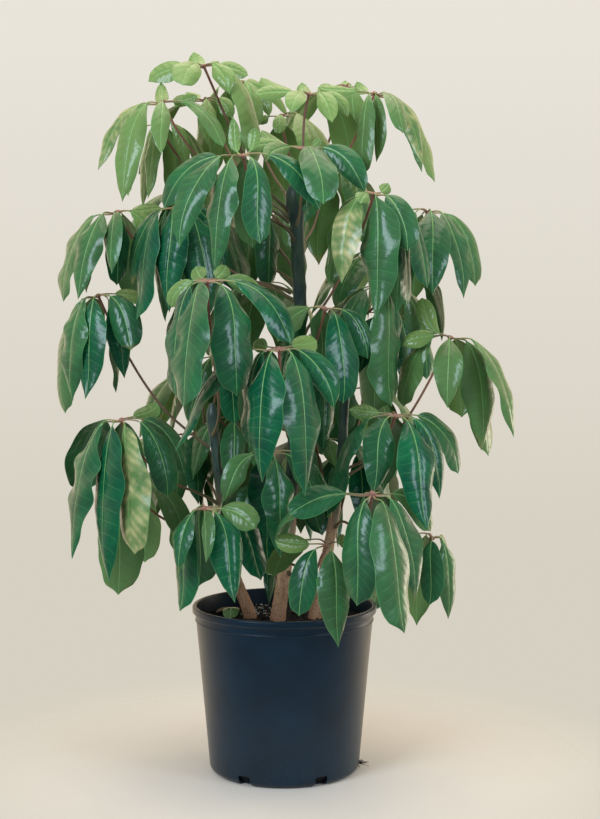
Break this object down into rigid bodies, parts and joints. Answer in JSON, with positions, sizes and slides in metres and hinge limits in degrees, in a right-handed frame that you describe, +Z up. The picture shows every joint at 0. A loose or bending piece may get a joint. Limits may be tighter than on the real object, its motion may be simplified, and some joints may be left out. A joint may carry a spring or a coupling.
{
  "type": "potted umbrella tree",
  "caption": "Standing umbrella tree with drooping palmate fronds on tall woody stems, rooted in soil in a round black plastic nursery pot with drain notches.",
  "frame": {"origin": "centre of the pot's flat underside, on the surface it stands on", "axes": "+Z up along the pot's axis, -Y towards the front that the picture shows, +X to the viewer's right"},
  "size_m": [0.6471, 0.6112, 1.028],
  "materials": {
    "pot": "dark charcoal moulded plastic, soft sheen",
    "soil": "dark peat potting mix with white perlite grains, matte",
    "bark": "tan woody bark with leaf scars, dull",
    "foliage": "leathery green leaflets with pale ribs and a waxy gloss, reddish stalks",
    "litter": "dry brown leaf and roots, matte"
  },
  "bodies": {
    "root": {"pot": "pot", "soil": "soil", "stem_centre": "bark", "stem_right": "bark", "stem_left": "bark", "frond_crown_left": "foliage", "frond_crown_left_rear": "foliage", "frond_top_left": "foliage", "frond_top_left_rear": "foliage", "frond_top_rear": "foliage", "frond_star": "foliage", "frond_top": "foliage", "frond_top_small": "foliage", "frond_upper_middle": "foliage", "frond_top_right": "foliage", "frond_top_right_rear": "foliage", "frond_upper_right_front": "foliage", "frond_right_inner": "foliage", "frond_upper_right": "foliage", "frond_right_outer": "foliage", "frond_right_front": "foliage", "frond_low_right": "foliage", "frond_low_right_front": "foliage", "frond_low_middle": "foliage", "frond_middle_front": "foliage", "frond_left_front": "foliage", "frond_left_upper_outer": "foliage", "frond_left_upper": "foliage", "frond_left_outer": "foliage", "frond_low_left_outer": "foliage", "frond_low_left_rear": "foliage", "frond_low_left_front": "foliage", "frond_inner_right": "foliage", "frond_inner_low": "foliage", "frond_inner_low_rear": "foliage", "frond_inner_left": "foliage", "frond_inner_upper": "foliage", "frond_inner_middle": "foliage", "frond_inner_low_left": "foliage", "frond_inner_centre": "foliage", "frond_inner_foot": "foliage", "frond_inner_low_right": "foliage", "frond_inner_left_high": "foliage", "frond_inner_right_high": "foliage", "frond_rear_1": "foliage", "frond_rear_2": "foliage", "frond_rear_3": "foliage", "frond_rear_4": "foliage", "frond_rear_5": "foliage", "frond_rear_6": "foliage", "frond_rear_7": "foliage", "fallen_leaf": "litter", "fallen_leaf_green": "foliage", "drain_roots": "litter"}
  },
  "joints": []
}
